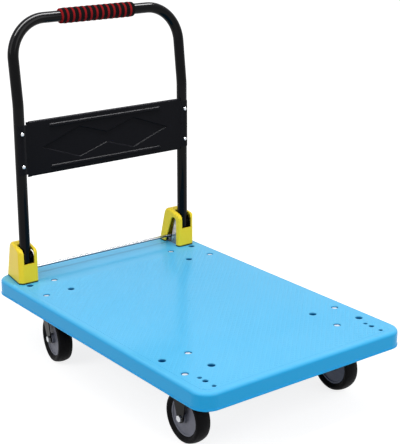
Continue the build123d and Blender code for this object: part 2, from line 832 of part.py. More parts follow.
with BuildPart() as bracket_nuts:
    with BuildSketch(Plane.XY.offset(pad_seat)):
        with Locations(*bracket_bolt_points):
            RegularPolygon(bracket_bolt_flats / 2, 6, major_radius=False)
            Circle(bracket_bolt_diameter / 2 + seat_clearance, mode=Mode.SUBTRACT)
    extrude(amount=-bracket_nut_height)
keep(bracket_nuts, "bracket_nuts")

for side_name, side in sides.items():
    hinge_y = side * tube_y

    with BuildPart() as hinge_bracket:
        with BuildSketch(Plane.XY.offset(deck_top)):
            with Locations((tube_x, hinge_y)):
                Polygon(
                    (stop_front, side * bracket_outer),
                    (stop_front, -side * bracket_outer),
                    (-bracket_rear, -side * bracket_outer),
                    (-bracket_rear, side * (bracket_outer - tongue_taper)),
                    (-cheek_rear, side * bracket_outer),
                    align=None,
                )
            with Locations(*bracket_bolt_points):
                Circle(bracket_bolt_diameter / 2 + bracket_bolt_room, mode=Mode.SUBTRACT)
            with Locations((latch_x + spring_radius, hinge_y + side * spring_end)):
                Circle(spring_wire / 2 + spring_hole_room, mode=Mode.SUBTRACT)
        extrude(amount=bracket_sheet)
        for cheek in (-1, 1):
            with BuildSketch(side_plane(hinge_y + cheek * (bracket_inner + bracket_outer) / 2)):
                with Locations((tube_x, pivot_z)):
                    Circle(cheek_radius)
                with Locations((tube_x + (stop_front - cheek_rear) / 2, deck_top + bracket_sheet / 2)):
                    Rectangle(stop_front + cheek_rear, bracket_sheet)
                make_hull()
                with Locations((tube_x, pivot_z)):
                    Circle(pivot_diameter / 2 + seat_clearance, mode=Mode.SUBTRACT)
                with Locations((latch_x, latch_z)):
                    Circle(latch_pin_diameter / 2 + seat_clearance, mode=Mode.SUBTRACT)
            extrude(amount=bracket_sheet / 2, both=True)
        with BuildSketch(Plane.XY.offset(deck_top)):
            with Locations((tube_x + stop_front - bracket_sheet / 2, hinge_y)):
                Rectangle(bracket_sheet, 2 * bracket_outer)
        extrude(amount=sill_height - sill_room)
        with BuildSketch(Plane.XY.offset(deck_top)):
            with Locations((tube_x - bracket_middle_hole, side * bracket_hole_y)):
                Circle(locating_hole_diameter / 2 - locating_room)
        extrude(amount=-locating_depth)
    keep(hinge_bracket, f"hinge_bracket_{side_name}")

    with BuildPart() as pivot_pin:
        with BuildSketch(side_plane(hinge_y)):
            with Locations((tube_x, pivot_z)):
                Circle(pivot_diameter / 2)
        extrude(amount=bracket_outer + pin_overhang, both=True)
    keep(pivot_pin, f"pivot_pin_{side_name}")

    with BuildPart() as latch_pin:
        with BuildSketch(side_plane(hinge_y)):
            with Locations((latch_x, latch_z)):
                Circle(latch_pin_diameter / 2)
        extrude(amount=bracket_outer + pin_overhang, both=True)
    keep(latch_pin, f"latch_pin_{side_name}")

    # the cover is wider on the outside, where its cheek runs in towards the rear and its front corner is cut
    # off; its hollow follows at the wall's thickness
    taper = math.radians(cover_taper)
    cover_y = hinge_y + side * (cover_outer - cover_inner) / 2
    outer_cheek = Plane(
        (tube_x + cover_front, hinge_y + side * cover_outer, 0),
        z_dir=(-math.sin(taper), side * math.cos(taper), 0),
    )
    cut_corner = Plane(
        (tube_x + cover_front - cover_corner_cut, hinge_y + side * cover_outer, 0), z_dir=(1, side, 0)
    )
    with BuildPart() as cover_hollow:
        with BuildSketch(side_plane(cover_y)) as hollow_side:
            with BuildLine():
                cover_outline(deck_top - 2 * cover_wall)
            make_face()
            round_cover_top(hollow_side)
            offset(amount=-cover_wall)
        extrude(amount=cover_half - cover_wall, both=True)
        split(bisect_by=outer_cheek.offset(-cover_wall), keep=Keep.BOTTOM)
        split(bisect_by=cut_corner.offset(-cover_wall), keep=Keep.BOTTOM)
        round_cheeks(cover_hollow, cover_edge_radius - cover_wall)

    with BuildPart() as hinge_cover:
        with BuildSketch(side_plane(cover_y)) as cover_side:
            with BuildLine():
                cover_outline(deck_top)
            make_face()
            round_cover_top(cover_side)
        extrude(amount=cover_half, both=True)
        split(bisect_by=outer_cheek, keep=Keep.BOTTOM)
        split(bisect_by=cut_corner, keep=Keep.BOTTOM)
        round_cheeks(hinge_cover, cover_edge_radius)
        add(cover_hollow.part, mode=Mode.SUBTRACT)
        # slot that the tube swings in, open to the front above the sill and to the top
        slot_rear = tube_x - tube_radius - roof_room
        slot_front = tube_x + cover_front
        with BuildSketch(Plane.XY.offset(deck_top + sill_height)):
            with Locations(((slot_rear + slot_front) / 2, hinge_y)):
                Rectangle(slot_front - slot_rear, 2 * slot_half)
        extrude(amount=pivot_height + cover_rear_rise, mode=Mode.SUBTRACT)
        # arch in the cheek that faces the other hinge, where the release rod goes in
        with BuildSketch(side_plane(hinge_y - side * (cover_inner - cover_wall / 2))) as arch:
            with BuildLine():
                Polyline(
                    (tube_x + arch_front, deck_top),
                    (tube_x + arch_front, pivot_z + arch_rise),
                    (tube_x - arch_rear_top, pivot_z + arch_rise),
                    (tube_x - arch_rear, deck_top),
                    close=True,
                )
            make_face()
            fillet(arch.vertices().sort_by(Axis.Y)[-2:], arch_round)
        extrude(amount=cover_wall, both=True, mode=Mode.SUBTRACT)
        fillet(arch_edges(hinge_cover, hinge_y - side * cover_inner), cover_lip_radius)
    keep(hinge_cover, f"hinge_cover_{side_name}")

    with BuildPart() as latch_lever:
        with BuildSketch(side_plane(hinge_y)):
            with Locations((latch_x, latch_z)):
                Circle(lever_boss_radius)
            with Locations((rod_x, rod_z)):
                Circle(lever_eye_radius)
            with Locations((nose_x, nose_z)):
                Circle(nose_radius)
            make_hull()
            with Locations((latch_x, latch_z)):
                Circle(latch_pin_diameter / 2 + running_clearance, mode=Mode.SUBTRACT)
            with Locations((rod_x, rod_z)):
                Circle(rod_diameter / 2 + seat_clearance, mode=Mode.SUBTRACT)
        extrude(amount=lever_thickness / 2, both=True)
    keep(latch_lever, f"latch_lever_{side_name}")

# Release rod between the two latch levers, with a clip on each end
with BuildPart() as release_rod:
    with BuildSketch(side_plane(0)):
        with Locations((rod_x, rod_z)):
            Circle(rod_diameter / 2)
    extrude(amount=tube_y + rod_end, both=True)
keep(release_rod, "release_rod")

with BuildPart() as rod_clips:
    for side in sides.values():
        clip_y = side * (tube_y + lever_thickness / 2 + clip_gap + clip_thickness / 2)
        with BuildSketch(side_plane(clip_y)):
            with Locations((rod_x, rod_z)):
                Circle(clip_diameter / 2)
                Circle(rod_diameter / 2 + seat_clearance, mode=Mode.SUBTRACT)
        extrude(amount=clip_thickness / 2, both=True)
keep(rod_clips, "rod_clips")

# Latch return springs: a few turns of wire round each latch pin, beside the lever. One leg lies under the
# rod, the other stands in a hole in the bracket.
rod_leg = rod_back - latch_back + spring_leg_overhang
bracket_leg = latch_height - bracket_sheet + spring_hole_depth
coil_steps = 4


def coil_point(side, quarters):
    # point of the helix after this many quarter turns, from the top over the front
    angle = quarters * math.pi / 2
    along = side * (tube_y + spring_start + spring_pitch * quarters / 4)
    return Vector(latch_x + spring_radius * math.sin(angle), along, latch_z + spring_radius * math.cos(angle))


def coil_direction(side, quarters):
    angle = quarters * math.pi / 2
    climb = side * spring_pitch / (2 * math.pi * spring_radius)
    return Vector(math.cos(angle), climb, -math.sin(angle)).normalized()


def coil_quarter(side, quarters):
    # two arcs that meet in one direction halfway, through both ends of a quarter turn
    start = coil_point(side, quarters)
    stop = coil_point(side, quarters + 1)
    leaving = coil_direction(side, quarters)
    arriving = coil_direction(side, quarters + 1)
    chord = stop - start
    both = leaving + arriving
    bend = 2 - 2 * leaving.dot(arriving)
    reach = (math.sqrt(chord.dot(both) ** 2 + bend * chord.dot(chord)) - chord.dot(both)) / bend
    first = start + leaving * reach
    second = stop - arriving * reach
    TangentArc(start, (first + second) / 2, tangent=leaving)
    TangentArc((first + second) / 2, stop, tangent=second - first)


for side_name, side in sides.items():
    with BuildPart() as latch_spring:
        with BuildLine() as spring_line:
            coil_start = coil_point(side, 0)
            coil_stop = coil_point(side, quarter_turns)
            Line(coil_start - Vector(rod_leg, 0, 0), coil_start)
            for quarter in range(quarter_turns):
                coil_quarter(side, quarter)
            Line(coil_stop, coil_stop - Vector(0, 0, bracket_leg))
        with BuildSketch(Plane(spring_line.line @ 0, z_dir=spring_line.line % 0)):
            Circle(spring_wire / 2)
        sweep()
    keep(latch_spring, f"latch_spring_{side_name}")

coil_samples = [coil_point(1, step / coil_steps) for step in range(coil_steps * quarter_turns + 1)]
half_turn = 2 * coil_steps
coil_gap = min(
    (a - b).length - spring_wire
    for i, a in enumerate(coil_samples)
    for b in coil_samples[i + half_turn:]
)
print(f"least gap between turns of a latch spring: {coil_gap:.2f} mm")
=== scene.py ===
import json
import math

import bpy
import numpy as np
from mathutils import Matrix, Vector


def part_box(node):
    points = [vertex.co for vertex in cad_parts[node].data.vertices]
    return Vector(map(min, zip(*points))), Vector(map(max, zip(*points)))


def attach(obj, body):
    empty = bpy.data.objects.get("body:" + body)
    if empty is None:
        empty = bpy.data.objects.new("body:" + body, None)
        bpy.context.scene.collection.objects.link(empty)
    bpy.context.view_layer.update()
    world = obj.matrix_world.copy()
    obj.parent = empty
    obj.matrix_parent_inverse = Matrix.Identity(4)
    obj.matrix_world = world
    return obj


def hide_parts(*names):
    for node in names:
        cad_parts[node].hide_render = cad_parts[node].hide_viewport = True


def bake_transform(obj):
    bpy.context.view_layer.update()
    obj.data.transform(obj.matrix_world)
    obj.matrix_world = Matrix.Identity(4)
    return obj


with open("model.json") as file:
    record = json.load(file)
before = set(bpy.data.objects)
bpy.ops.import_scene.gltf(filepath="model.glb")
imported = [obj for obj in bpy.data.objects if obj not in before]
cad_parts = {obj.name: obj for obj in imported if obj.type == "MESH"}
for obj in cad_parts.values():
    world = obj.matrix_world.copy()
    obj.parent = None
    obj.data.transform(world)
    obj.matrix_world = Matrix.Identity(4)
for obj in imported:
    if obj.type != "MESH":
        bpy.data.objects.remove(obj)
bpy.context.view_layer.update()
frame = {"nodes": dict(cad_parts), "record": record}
nodes = frame["nodes"]

# heights and places read from the frame, in metres
deckLow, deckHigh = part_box("deck")
deckTop = deckHigh.z
gripLow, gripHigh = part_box("grip_sleeve")
ringLow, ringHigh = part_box("grip_rings")
capLow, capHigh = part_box("tube_caps")
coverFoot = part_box("hinge_cover_left")[0].z
pinLow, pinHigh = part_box("pivot_pin_left")
hingeSide = (pinLow.y + pinHigh.y) / 2
rodLow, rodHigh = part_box("release_rod")
hubLow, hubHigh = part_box("hub_front_left")
hubSide = (hubLow.y + hubHigh.y) / 2


def screenColour(red, green, blue):
    # colour as it looks on a screen, 0 to 255, turned into linear light by the screen's standard curve
    share = np.array([red, green, blue]) / 255
    linear = np.where(share <= 0.04045, share / 12.92, ((share + 0.055) / 1.055) ** 2.4)
    return (*[float(v) for v in linear], 1.0)


# small steps that every finish is put together from
def startLook(name, colour, roughness, metallic=0.0, specular=0.5):
    look = bpy.data.materials.new(name)
    look.use_nodes = True
    tree = look.node_tree
    shader = tree.nodes["Principled BSDF"]
    shader.inputs["Base Color"].default_value = colour
    shader.inputs["Roughness"].default_value = roughness
    shader.inputs["Metallic"].default_value = metallic
    shader.inputs["Specular IOR Level"].default_value = specular
    return look, tree, shader


def addNode(tree, kind, **settings):
    node = tree.nodes.new(kind)
    for key, value in settings.items():
        setattr(node, key, value)
    return node


def objectPoint(tree, stretch=(1, 1, 1)):
    # the point on the piece in metres, stretched along the axes
    spot = addNode(tree, "ShaderNodeTexCoord")
    mapping = addNode(tree, "ShaderNodeMapping")
    mapping.inputs["Scale"].default_value = stretch
    tree.links.new(spot.outputs["Object"], mapping.inputs["Vector"])
    return mapping.outputs["Vector"]


def along(tree, point, axis):
    # one coordinate of a point: X, Y or Z
    parts = addNode(tree, "ShaderNodeSeparateXYZ")
    tree.links.new(point, parts.inputs[0])
    return parts.outputs[axis]


def grain(tree, point, scale, detail, rough=0.5):
    # soft noise from 0 to 1, scale in lumps per metre
    noise = addNode(tree, "ShaderNodeTexNoise")
    noise.inputs["Scale"].default_value = scale
    noise.inputs["Detail"].default_value = detail
    noise.inputs["Roughness"].default_value = rough
    tree.links.new(point, noise.inputs["Vector"])
    return noise.outputs["Fac"]


middleGrain = (0.3, 0.7)  # most of the grain's values lie between these


def spread(tree, source, lowIn, highIn, lowOut, highOut):
    # straight-line change of range, held at both ends
    node = addNode(tree, "ShaderNodeMapRange")
    for name, value in zip(("From Min", "From Max", "To Min", "To Max"), (lowIn, highIn, lowOut, highOut)):
        node.inputs[name].default_value = value
    tree.links.new(source, node.inputs["Value"])
    return node.outputs["Result"]


def patches(tree, point, scale, detail, rough=0.5, between=middleGrain, out=(0, 1)):
    # grain between two of its values, spread over a range
    return spread(tree, grain(tree, point, scale, detail, rough), *between, *out)


def combine(tree, operation, first, second=0):
    node = addNode(tree, "ShaderNodeMath", operation=operation)
    for socket, value in zip(node.inputs, (first, second)):
        if isinstance(value, (int, float)):
            socket.default_value = value
        else:
            tree.links.new(value, socket)
    return node.outputs["Value"]


def fromMiddle(tree, point, axis):
    # distance from the middle of the truck along an axis
    return combine(tree, "ABSOLUTE", along(tree, point, axis))


def blendColour(tree, factor, first, second):
    # first where the factor is 0, second where it is 1; either may be a colour or another node's output
    node = addNode(tree, "ShaderNodeMix", data_type="RGBA")
    tree.links.new(factor, node.inputs[0])
    for socket, colour in ((node.inputs[6], first), (node.inputs[7], second)):
        if isinstance(colour, tuple):
            socket.default_value = colour
        else:
            tree.links.new(colour, socket)
    return node.outputs[2]


def layOver(tree, shader, factor, colour):
    # a colour over what the look has so far, full where the factor is 1
    below = shader.inputs["Base Color"].links[0].from_socket
    tree.links.new(blendColour(tree, factor, below, colour), shader.inputs["Base Color"])


def relief(tree, shader, height, depth, strength, below=None):
    # bump of this depth in metres, laid over an earlier one if given
    bump = addNode(tree, "ShaderNodeBump")
    bump.inputs["Strength"].default_value = strength
    bump.inputs["Distance"].default_value = depth
    tree.links.new(height, bump.inputs["Height"])
    if below is not None:
        tree.links.new(below, bump.inputs["Normal"])
    tree.links.new(bump.outputs["Normal"], shader.inputs["Normal"])
    return bump.outputs["Normal"]


def grainRelief(tree, shader, point, scale, detail, depth, strength, below=None):
    return relief(tree, shader, grain(tree, point, scale, detail), depth, strength, below)


def patchedLook(name, finish):
    # two colours in soft patches, roughness that drifts over the surface, and a fine relief
    look, tree, shader = startLook(name, finish["colours"][0], finish["roughness"][0],
                                   specular=finish["specular"])
    point = objectPoint(tree)
    colour = blendColour(tree, patches(tree, point, **finish["patches"]), *finish["colours"])
    tree.links.new(colour, shader.inputs["Base Color"])
    sheen = patches(tree, point, **finish["sheen"], out=finish["roughness"])
    tree.links.new(sheen, shader.inputs["Roughness"])
    grainRelief(tree, shader, point, **finish["relief"])
    return look, tree, shader


# finishes, with depths and heights in metres
deckFinish = {
    # painted light: the sides are given a darker blue for the shade on them, and the top a paler one for the
    # light on it
    "skirt": screenColour(36, 173, 236),
    "top": screenColour(88, 194, 244),
    "scuffed": screenColour(106, 201, 246),
    "edge": (0.007, 0.001),  # depths between which the darker side blue, painted shade, turns into the paler top blue, painted light
    # painted shade: the holes and counterbores are given a darker blue
    "hole": screenColour(10, 92, 150),
    "holeFrom": (0.0035, 0.0015),  # depths between which the painted shade in the holes starts
    "holeDepth": 0.024,
    "border": 0.02,
    "roughness": (0.13, 0.24),
    "specular": 0.13,
    "drift": {"scale": 5, "detail": 3, "out": (0, 0.3)},  # slow drift of the moulded colour
    "scuffs": {"scale": 90, "detail": 5, "rough": 0.65},
    "scuffStretch": (1, 0.25, 1),
    "sinkMarks": {"scale": 14, "detail": 1, "depth": 0.0012, "strength": 0.2},  # over the ribs
}


def deckBlue():
    # painted light: the top is a paler blue than the deck's sides, as if lit from above, and the holes in it
    # are painted darker as shade
    look, tree, shader = startLook("deckBlue", deckFinish["top"], deckFinish["roughness"][0],
                                   specular=deckFinish["specular"])
    point = objectPoint(tree)
    height = along(tree, point, "Z")
    low, high = (deckTop - depth for depth in deckFinish["edge"])
    # painted light: share of the paler, lit top colour over the darker, shaded sides
    litTopShare = spread(tree, height, low, high, 0, 1)
    drift = patches(tree, point, **deckFinish["drift"])
    top = blendColour(tree, drift, deckFinish["top"], deckFinish["scuffed"])
    tree.links.new(blendColour(tree, litTopShare, deckFinish["skirt"], top), shader.inputs["Base Color"])
    # painted shade: darker blue down the holes, where shade falls
    low, high = (deckTop - depth for depth in deckFinish["holeFrom"])
    aboveFloor = combine(tree, "GREATER_THAN", height, deckTop - deckFinish["holeDepth"])
    holeShadeMask = combine(tree, "MULTIPLY", spread(tree, height, low, high, 1, 0), aboveFloor)
    for axis, reach in (("X", deckHigh.x), ("Y", deckHigh.y)):
        within = combine(tree, "LESS_THAN", fromMiddle(tree, point, axis), reach - deckFinish["border"])
        holeShadeMask = combine(tree, "MULTIPLY", holeShadeMask, within)
    layOver(tree, shader, holeShadeMask, deckFinish["hole"])
    stretched = objectPoint(tree, deckFinish["scuffStretch"])
    scuffs = patches(tree, stretched, **deckFinish["scuffs"], out=deckFinish["roughness"])
    tree.links.new(scuffs, shader.inputs["Roughness"])
    grainRelief(tree, shader, point, **deckFinish["sinkMarks"])
    return look


coverFinish = {
    "colours": (screenColour(252, 223, 58), screenColour(249, 219, 53)),
    # painted shadow at the cover's foot
    "footShadow": screenColour(46, 66, 40),
    "footShadowHeight": (0.0034, 0.005),
    "roughness": (0.28, 0.33),
    "specular": 0.15,
    "clouds": {"scale": 9, "detail": 2, "between": (0.35, 0.7)},
    "sheen": {"scale": 60, "detail": 2},
}


def coverYellow():
    # painted shadow: a dark band at the foot, where the cover meets the deck
    look, tree, shader = startLook("coverYellow", coverFinish["colours"][0], coverFinish["roughness"][0],
                                   specular=coverFinish["specular"])
    point = objectPoint(tree)
    plastic = blendColour(tree, patches(tree, point, **coverFinish["clouds"]), *coverFinish["colours"])
    tree.links.new(plastic, shader.inputs["Base Color"])
    # painted shadow: dark band over the lowest few millimetres of the cover
    low, high = (coverFoot + step for step in coverFinish["footShadowHeight"])
    layOver(tree, shader, spread(tree, along(tree, point, "Z"), low, high, 1, 0), coverFinish["footShadow"])
    sheen = patches(tree, point, **coverFinish["sheen"], out=coverFinish["roughness"])
    tree.links.new(sheen, shader.inputs["Roughness"])
    return look


# black enamel, clean and dusty, with the orange peel of a sprayed coat
enamelFinish = {
    "patches": {"scale": 45, "detail": 5, "rough": 0.7, "between": (0.5, 0.85), "out": (0, 0.6)},
    "sheen": {"scale": 30, "detail": 4, "between": (0.3, 0.75)},
    "relief": {"scale": 120, "detail": 1, "depth": 0.0001, "strength": 0.04},
}
tubeFinish = {
    **enamelFinish,
    "colours": (screenColour(3, 3, 4), screenColour(7, 7, 8)),
    "roughness": (0.07, 0.14),
    "specular": 0.1,
}
plateFinish = {
    **enamelFinish,
    "colours": (screenColour(14, 14, 17), screenColour(18, 18, 21)),
    "roughness": (0.28, 0.36),
    "specular": 0.034,
}


def tubeEnamel():
    return patchedLook("blackEnamel", tubeFinish)[0]


def plateEnamel():
    return patchedLook("plateEnamel", plateFinish)[0]


zincFinish = {
    "colours": (screenColour(212, 214, 217), screenColour(168, 171, 176)),
    "roughness": (0.22, 0.4),
    "spangles": 420,
    "spangleReach": 0.8,
    "clouds": {"scale": 70, "detail": 4},
    "sheen": {"scale": 300, "detail": 3},
    "relief": {"scale": 900, "detail": 2, "depth": 0.00003, "strength": 0.5},
}


def startZinc(name):
    # bright and dull spangles of a zinc coat
    look, tree, shader = startLook(name, zincFinish["colours"][0], zincFinish["roughness"][0], metallic=1.0)
    point = objectPoint(tree)
    spangle = addNode(tree, "ShaderNodeTexVoronoi", feature="F1")
    spangle.inputs["Scale"].default_value = zincFinish["spangles"]
    tree.links.new(point, spangle.inputs["Vector"])
    cells = spread(tree, spangle.outputs["Distance"], 0, zincFinish["spangleReach"], 0, 1)
    cloud = combine(tree, "MULTIPLY", cells, grain(tree, point, **zincFinish["clouds"]))
    tree.links.new(blendColour(tree, cloud, *zincFinish["colours"]), shader.inputs["Base Color"])
    sheen = patches(tree, point, **zincFinish["sheen"], out=zincFinish["roughness"])
    tree.links.new(sheen, shader.inputs["Roughness"])
    grainRelief(tree, shader, point, **zincFinish["relief"])
    return look, tree, shader


def brightZinc():
    return startZinc("brightZinc")[0]


boltFinish = {
    "bare": screenColour(242, 244, 246),
    "bareBetween": (0.3, 0.6),
    "bareShare": (0.6, 1),
    "roughness": (0.5, 0.65),
    "scouring": {"scale": 300, "detail": 3},
}


def boltZinc():
    # bolt heads scoured bare and dull by loads
    look, tree, shader = startZinc("boltZinc")
    scour = grain(tree, objectPoint(tree), **boltFinish["scouring"])
    bare = spread(tree, scour, *boltFinish["bareBetween"], *boltFinish["bareShare"])
    layOver(tree, shader, bare, boltFinish["bare"])
    tree.links.new(spread(tree, scour, *middleGrain, *boltFinish["roughness"]), shader.inputs["Roughness"])
    return look


bracketFinish = {
    "worn": screenColour(150, 151, 152),
    "wear": {"scale": 55, "detail": 3, "between": (0.35, 0.6), "out": (0.4, 1)},
    "cheekBlack": screenColour(14, 14, 15),
    "cheekBlackWithin": 0.0164,  # distance from the middle of the hinge
}


def bracketZinc():
    # worn zinc outside; black and not metallic between the cheeks
    look, tree, shader = startZinc("bracketZinc")
    point = objectPoint(tree)
    layOver(tree, shader, patches(tree, point, **bracketFinish["wear"]), bracketFinish["worn"])
    fromTube = combine(tree, "SUBTRACT", fromMiddle(tree, point, "Y"), hingeSide)
    within = combine(tree, "LESS_THAN", combine(tree, "ABSOLUTE", fromTube), bracketFinish["cheekBlackWithin"])
    layOver(tree, shader, within, bracketFinish["cheekBlack"])
    tree.links.new(combine(tree, "SUBTRACT", 1, within), shader.inputs["Metallic"])
    return look


chromeFinish = {
    "colours": (screenColour(222, 224, 228), screenColour(190, 193, 198)),
    "dullBetween": (0.4, 0.75),
    # painted shade for the rod's underside
    "undersideShade": screenColour(84, 98, 110),
    "undersideShadeEdge": 0.2,  # share of the rod's radius over which the painted shade fades out
    "roughness": (0.12, 0.2),
    "drawing": {"scale": 160, "detail": 3},
    "drawingStretch": (6, 0.2, 6),
}


def rodChrome():
    # drawing lines along the rod, and painted shade on its underside
    look, tree, shader = startLook("rodChrome", chromeFinish["colours"][0], chromeFinish["roughness"][0],
                                   metallic=1.0)
    lines = grain(tree, objectPoint(tree, chromeFinish["drawingStretch"]), **chromeFinish["drawing"])
    dull = spread(tree, lines, *chromeFinish["dullBetween"], 0, 1)
    tree.links.new(blendColour(tree, dull, *chromeFinish["colours"]), shader.inputs["Base Color"])
    # painted shade: darker below the rod's axis
    middle = (rodLow.z + rodHigh.z) / 2
    edge = chromeFinish["undersideShadeEdge"] * (rodHigh.z - rodLow.z) / 2
    height = along(tree, objectPoint(tree), "Z")
    layOver(tree, shader, spread(tree, height, middle - edge, middle + edge, 1, 0), chromeFinish["undersideShade"])
    tree.links.new(spread(tree, lines, *middleGrain, *chromeFinish["roughness"]), shader.inputs["Roughness"])
    return look


steelFinish = {
    "colours": (screenColour(150, 150, 154), screenColour(96, 95, 96)),
    "oiled": {"scale": 60, "detail": 4, "between": (0.35, 0.7)},
    "roughness": (0.25, 0.48),
    "turning": {"scale": 240, "detail": 3},
    "turningStretch": (0.2, 6, 0.2),
    "turningRelief": {"depth": 0.00002, "strength": 0.5},
}


def plainSteel():
    # oiled patches, and marks left by the lathe
    look, tree, shader = startLook("plainSteel", steelFinish["colours"][0], steelFinish["roughness"][0],
                                   metallic=1.0)
    oiled = patches(tree, objectPoint(tree), **steelFinish["oiled"])
    tree.links.new(blendColour(tree, oiled, *steelFinish["colours"]), shader.inputs["Base Color"])
    marks = grain(tree, objectPoint(tree, steelFinish["turningStretch"]), **steelFinish["turning"])
    tree.links.new(spread(tree, marks, *middleGrain, *steelFinish["roughness"]), shader.inputs["Roughness"])
    relief(tree, shader, marks, **steelFinish["turningRelief"])
    return look


tyreFinish = {
    "colours": (screenColour(6, 6, 8), screenColour(16, 16, 17)),  # clean and dusty
    "roughness": (0.45, 0.65),
    "specular": 0.07,
    "patches": {"scale": 60, "detail": 5, "rough": 0.7, "between": (0.5, 0.85), "out": (0, 0.5)},
    "sheen": {"scale": 200, "detail": 3},
    "relief": {"scale": 1300, "detail": 3, "depth": 0.00008, "strength": 0.7},
}


def tyreRubber():
    return patchedLook("tyreRubber", tyreFinish)[0]


hubFinish = {
    "colours": (screenColour(110, 112, 125), screenColour(96, 98, 110)),
    "roughness": (0.4, 0.58),
    "specular": 0.5,
    "patches": {"scale": 40, "detail": 4, "between": (0.35, 0.7)},
    "sheen": {"scale": 180, "detail": 3},
    "relief": {"scale": 1200, "detail": 2, "depth": 0.00006, "strength": 0.6},
    # painted shade for the hub faces under the deck
    "underDeckShade": screenColour(64, 74, 98),
    "underDeckShadeShare": 0.9,
}


def hubGrey():
    # painted shade: the fixed front wheels' hubs are darker on the side under the deck
    look, tree, shader = patchedLook("hubGrey", hubFinish)
    point = objectPoint(tree)
    # painted shade: inner hub faces of the front wheels darkened
    inside = combine(tree, "LESS_THAN", fromMiddle(tree, point, "Y"), hubSide)
    atFront = combine(tree, "GREATER_THAN", along(tree, point, "X"), 0)
    underDeckShaded = combine(tree, "MULTIPLY", combine(tree, "MULTIPLY", inside, atFront), hubFinish["underDeckShadeShare"])
    layOver(tree, shader, underDeckShaded, hubFinish["underDeckShade"])
    return look


plasticFinish = {
    "colours": (screenColour(26, 26, 28), screenColour(38, 38, 40)),
    "roughness": (0.42, 0.6),
    "specular": 0.5,
    "patches": {"scale": 70, "detail": 4, "between": (0.4, 0.75)},
    "sheen": {"scale": 220, "detail": 3},
    "relief": {"scale": 1000, "detail": 2, "depth": 0.00006, "strength": 0.6},
}


def blackPlastic():
    return patchedLook("blackPlastic", plasticFinish)[0]


foamFinish = {
    "black": (screenColour(7, 6, 7), screenColour(15, 13, 14)),
    "red": (screenColour(128, 18, 22), screenColour(156, 28, 33)),
    "fleckBetween": (0.35, 0.7),
    "roughness": (0.7, 0.92),
    "specular": 0.08,
    "cells": {"scale": 700, "detail": 4, "rough": 0.65},
    "pores": {"depth": 0.0003, "strength": 0.8},
    "lumps": {"scale": 120, "detail": 2, "depth": 0.0006, "strength": 0.3},
}


def gripFoamLook():
    # black foam, red where the piece's own ring mask is 1
    look, tree, shader = startLook("gripFoamLook", foamFinish["black"][0], foamFinish["roughness"][0],
                                   specular=foamFinish["specular"])
    point = objectPoint(tree)
    cells = grain(tree, point, **foamFinish["cells"])
    fleck = spread(tree, cells, *foamFinish["fleckBetween"], 0, 1)
    black = blendColour(tree, fleck, *foamFinish["black"])
    red = blendColour(tree, fleck, *foamFinish["red"])
    mask = addNode(tree, "ShaderNodeAttribute", attribute_name="ringMask")
    tree.links.new(blendColour(tree, mask.outputs["Fac"], black, red), shader.inputs["Base Color"])
    tree.links.new(spread(tree, cells, *middleGrain, *foamFinish["roughness"]), shader.inputs["Roughness"])
    pores = relief(tree, shader, cells, **foamFinish["pores"])
    grainRelief(tree, shader, point, **foamFinish["lumps"], below=pores)
    return look


looks = {
    "deck_plastic": deckBlue(),
    "cover_plastic": coverYellow(),
    "black_enamel": tubeEnamel(),
    "zinc": brightZinc(),
    "steel": plainSteel(),
    "tyre_rubber": tyreRubber(),
    "hub_plastic": hubGrey(),
    "black_plastic": blackPlastic(),
    "black_foam": gripFoamLook(),
}
looks["red_foam"] = looks["black_foam"]
ownLooks = {
    "release_rod": rodChrome(),
    "hinge_bracket_left": bracketZinc(),
    "caster_bolts_shallow": boltZinc(),
    "back_plate": plateEnamel(),
}
ownLooks["hinge_bracket_right"] = ownLooks["hinge_bracket_left"]
for part in frame["record"]["subparts"]:
    mesh = nodes[part["node"]].data
    mesh.materials.clear()
    mesh.materials.append(ownLooks.get(part["node"], looks[part["material_slot"]]))
print("finishes:", len(looks), "slots dressed")


def gridQuads(rows, columns, closed):
    # faces of a tube of rings, one ring to a row, whose last ring meets the first if the tube is closed
    v = np.arange(rows if closed else rows - 1)[:, None]
    u = np.arange(columns)[None, :]
    vNext, uNext = (v + 1) % rows, (u + 1) % columns
    corners = [v * columns + u, v * columns + uNext, vNext * columns + uNext, vNext * columns + u]
    return np.stack([c.ravel() for c in np.broadcast_arrays(*corners)], -1)


def meshPiece(name, points, quads, look, body=None, smooth=True):
    # a piece given no body here is attached to none
    mesh = bpy.data.meshes.new(name)
    mesh.vertices.add(len(points))
    mesh.vertices.foreach_set("co", np.ascontiguousarray(points, np.float32).ravel())
    mesh.loops.add(quads.size)
    mesh.loops.foreach_set("vertex_index", np.ascontiguousarray(quads, np.int32).ravel())
    mesh.polygons.add(len(quads))
    mesh.polygons.foreach_set("loop_start", np.arange(0, quads.size, quads.shape[1], dtype=np.int32))
    mesh.update(calc_edges=True)
    mesh.validate()
    mesh.polygons.foreach_set("use_smooth", np.full(len(mesh.polygons), smooth))
    mesh.materials.append(look)
    piece = bpy.data.objects.new(name, mesh)
    bpy.context.scene.collection.objects.link(piece)
    if body:
        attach(piece, body)
    return piece


# foam grip on the top bar: red lands and black valleys, closed round the bar
grip = {
    "lands": 12,
    "pitch": 0.0173,
    "landWidth": 0.006,
    "rim": 0.0035,  # width of the red rim at one end
    "edge": 0.0012,
    "endRound": 0.006,
    "boreRoom": 0.00006,
    "around": 96,
    "along": 440,
}


